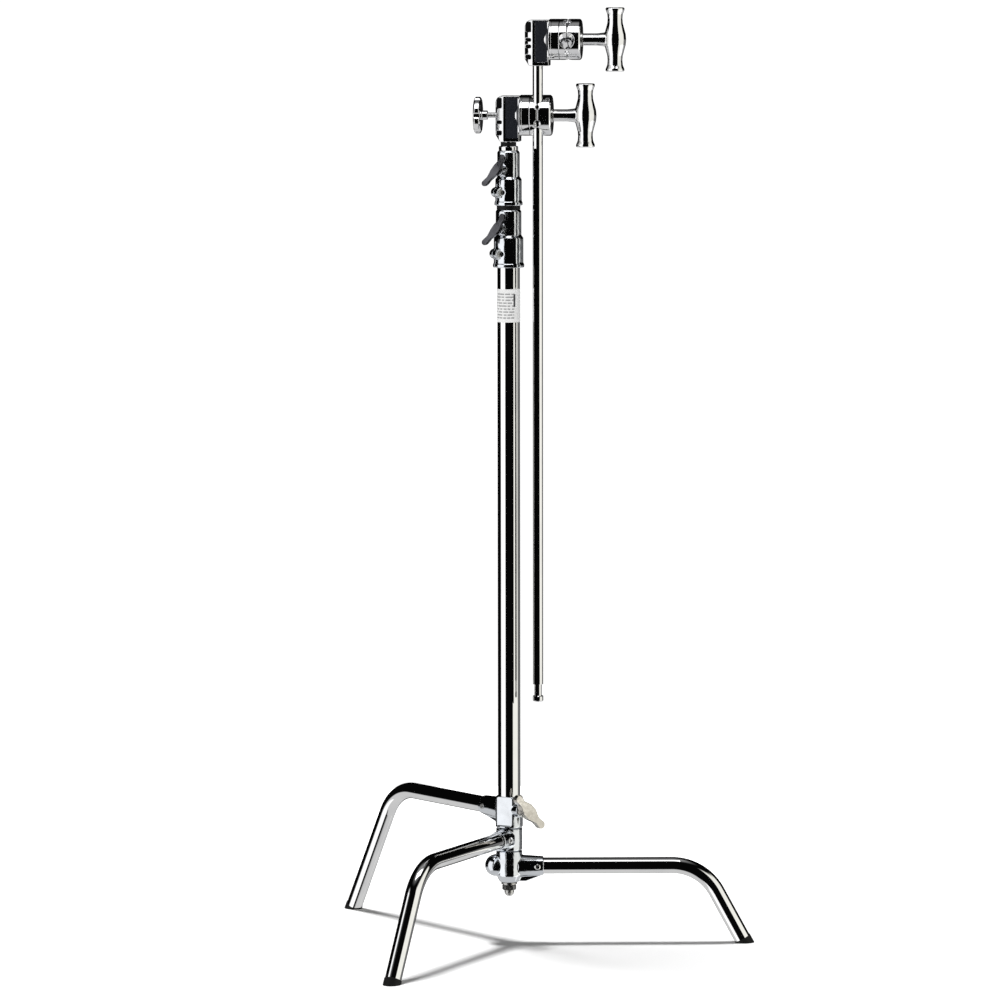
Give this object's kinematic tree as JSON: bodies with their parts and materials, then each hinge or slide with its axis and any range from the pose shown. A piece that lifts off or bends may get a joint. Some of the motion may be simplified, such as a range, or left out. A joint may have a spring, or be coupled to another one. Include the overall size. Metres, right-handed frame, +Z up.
{
  "type": "c stand",
  "caption": "Chromed telescopic lighting stand with a folding staggered-leg base, two friction grip heads and a long side arm.",
  "frame": {"origin": "on the floor, under the axis of the column, in the plane of the soles of the three boots", "axes": "+Z up along the column; +X to the right, 0.9 degrees off the lowest leg; +Y away from the side that shows the black plates of the grip heads"},
  "size_m": [0.6531, 0.6867, 1.4624],
  "materials": {
    "chrome_tube": "polished chrome plate on steel tube",
    "chrome_casting": "chromed casting, slightly softer than the tube",
    "grey_casting": "nickel-grey cast handle, satin",
    "black_plastic": "matte black nylon",
    "black_plate": "matte black printed plate, plain",
    "label": "white wrap label, plain",
    "rubber": "black moulded rubber",
    "steel": "zinc plated steel fastener",
    "brass": "turned brass shoe"
  },
  "bodies": {
    "base": {"base_top_casting": "chrome_casting", "base_spindle": "steel", "base_washers": "steel", "base_nuts": "steel", "top_leg": "chrome_tube", "top_leg_boot": "rubber", "top_leg_rivet": "steel"},
    "middle_leg_unit": {"base_middle_casting": "chrome_casting", "middle_leg": "chrome_tube", "middle_leg_boot": "rubber", "middle_leg_rivet": "steel"},
    "bottom_leg_unit": {"base_bottom_casting": "chrome_casting", "bottom_leg": "chrome_tube", "bottom_leg_boot": "rubber", "bottom_leg_rivet": "steel"},
    "base_shoe": {"base_lock_shoe": "brass"},
    "base_handle": {"base_lock_handle": "grey_casting"},
    "column": {"column_pin": "chrome_tube", "column_tube": "chrome_tube", "column_label": "label", "lower_collar": "chrome_casting", "lower_pinch_bolt": "steel"},
    "lower_shoe": {"lower_lock_shoe": "brass"},
    "lower_handle": {"lower_lock_handle": "grey_casting"},
    "lower_riser": {"lower_riser_tube": "chrome_tube", "lower_riser_bush": "black_plastic", "lower_stop_ring": "black_plastic", "upper_collar": "chrome_casting", "upper_pinch_bolt": "steel"},
    "upper_shoe": {"upper_lock_shoe": "brass"},
    "upper_handle": {"upper_lock_handle": "grey_casting"},
    "upper_riser": {"upper_riser_tube": "chrome_tube", "upper_riser_bush": "black_plastic", "top_stud": "chrome_tube", "stud_washer": "black_plastic"},
    "lower_head": {"lower_receiver": "chrome_casting", "lower_plate": "black_plate", "lower_centre_bolt": "steel", "lower_friction_disc": "chrome_casting"},
    "knob_pad": {"stud_knob_pad": "brass"},
    "knob": {"stud_knob": "chrome_casting"},
    "lower_jaw": {"lower_inner_jaw": "chrome_casting", "lower_jaw_dowels": "steel", "lower_jaw_spring": "steel"},
    "lower_outer": {"lower_outer_jaw": "chrome_casting", "lower_thrust_washer": "steel"},
    "lower_t": {"lower_t_handle": "chrome_casting"},
    "arm": {"arm_tube": "chrome_tube", "arm_end_stud": "chrome_tube", "arm_fixing_pin": "steel", "upper_receiver": "chrome_casting", "upper_plate": "black_plate", "upper_centre_bolt": "steel", "upper_friction_disc": "chrome_casting"},
    "upper_jaw": {"upper_inner_jaw": "chrome_casting", "upper_jaw_dowels": "steel", "upper_jaw_spring": "steel"},
    "upper_outer": {"upper_outer_jaw": "chrome_casting", "upper_thrust_washer": "steel"},
    "upper_t": {"upper_t_handle": "chrome_casting"}
  },
  "joints": [
    {"name": "middle_leg_fold", "type": "hinge", "parent": "base", "child": "middle_leg_unit", "pos_m": [0, 0, 0.166], "axis": [0, 0, 1], "range_deg": [-105.7, 0]},
    {"name": "bottom_leg_fold", "type": "hinge", "parent": "base", "child": "bottom_leg_unit", "pos_m": [0, 0, 0.123], "axis": [0, 0, 1], "range_deg": [0, 120.1]},
    {"name": "base_shoe_press", "type": "slide", "parent": "base", "child": "base_shoe", "axis": [0.6428, -0.766, 0], "range_m": [0, 0.0015]},
    {"name": "base_lock_turn", "type": "hinge", "parent": "base_shoe", "child": "base_handle", "pos_m": [0, 0, 0.214], "axis": [0.6428, -0.766, 0], "range_deg": [0, 360]},
    {"name": "column_lift", "type": "slide", "parent": "base", "child": "column", "axis": [0, 0, 1], "range_m": [0, 0.09]},
    {"name": "lower_riser_slide", "type": "slide", "parent": "column", "child": "lower_riser", "axis": [0, 0, 1], "range_m": [0, 0.79]},
    {"name": "lower_shoe_press", "type": "slide", "parent": "column", "child": "lower_shoe", "axis": [-0.6018, -0.7986, 0], "range_m": [0, 0.00125]},
    {"name": "lower_lock_turn", "type": "hinge", "parent": "lower_shoe", "child": "lower_handle", "pos_m": [0, 0, 1.1215], "axis": [-0.6018, -0.7986, 0], "range_deg": [0, 360]},
    {"name": "upper_riser_slide", "type": "slide", "parent": "lower_riser", "child": "upper_riser", "axis": [0, 0, 1], "range_m": [0, 0.84]},
    {"name": "upper_shoe_press", "type": "slide", "parent": "lower_riser", "child": "upper_shoe", "axis": [-0.6018, -0.7986, 0], "range_m": [0, 0.00125]},
    {"name": "upper_lock_turn", "type": "hinge", "parent": "upper_shoe", "child": "upper_handle", "pos_m": [0, 0, 1.2125], "axis": [-0.6018, -0.7986, 0], "range_deg": [0, 360]},
    {"name": "head_pan", "type": "hinge", "parent": "upper_riser", "child": "lower_head", "pos_m": [0, 0, 1.2963], "axis": [0, 0, 1], "range_deg": [-60, 150]},
    {"name": "knob_pad_press", "type": "slide", "parent": "lower_head", "child": "knob_pad", "axis": [-0.9945, 0.1045, 0], "range_m": [0, 0.00125]},
    {"name": "knob_turn", "type": "hinge", "parent": "knob_pad", "child": "knob", "pos_m": [0, 0, 1.2963], "axis": [-0.9945, 0.1045, 0], "range_deg": [0, 360]},
    {"name": "arm_swing", "type": "hinge", "parent": "lower_head", "child": "lower_jaw", "pos_m": [0, 0, 1.2963], "axis": [0.9945, -0.1045, 0], "range_deg": [-110, 110]},
    {"name": "lower_jaw_open", "type": "slide", "parent": "lower_jaw", "child": "lower_outer", "axis": [0.9945, -0.1045, 0], "range_m": [0, 0.00317]},
    {"name": "lower_t_turn", "type": "hinge", "parent": "lower_outer", "child": "lower_t", "pos_m": [0, 0, 1.2963], "axis": [0.9945, -0.1045, 0], "range_deg": [0, 720]},
    {"name": "arm_slide", "type": "slide", "parent": "lower_jaw", "child": "arm", "axis": [0, 0, 1], "range_m": [-0.03, 0.84]},
    {"name": "upper_jaw_swivel", "type": "hinge", "parent": "arm", "child": "upper_jaw", "pos_m": [0.04516, -0.02184, 1.4134], "axis": [0.9945, -0.1045, 0], "range_deg": [-180, 180]},
    {"name": "upper_jaw_open", "type": "slide", "parent": "upper_jaw", "child": "upper_outer", "axis": [0.9945, -0.1045, 0], "range_m": [0, 0.00317]},
    {"name": "upper_t_turn", "type": "hinge", "parent": "upper_outer", "child": "upper_t", "pos_m": [0.04516, -0.02184, 1.4134], "axis": [0.9945, -0.1045, 0], "range_deg": [0, 720]}
  ],
  "couplings": [
    {"joint": "base_lock_turn", "follows": "base_shoe_press", "rad_per_m": 4188.7},
    {"joint": "lower_lock_turn", "follows": "lower_shoe_press", "rad_per_m": 5026.5},
    {"joint": "upper_lock_turn", "follows": "upper_shoe_press", "rad_per_m": 5026.5},
    {"joint": "knob_turn", "follows": "knob_pad_press", "rad_per_m": 5026.5},
    {"joint": "lower_t_turn", "follows": "lower_jaw_open", "rad_per_m": 3957.9},
    {"joint": "upper_t_turn", "follows": "upper_jaw_open", "rad_per_m": 3957.9}
  ]
}
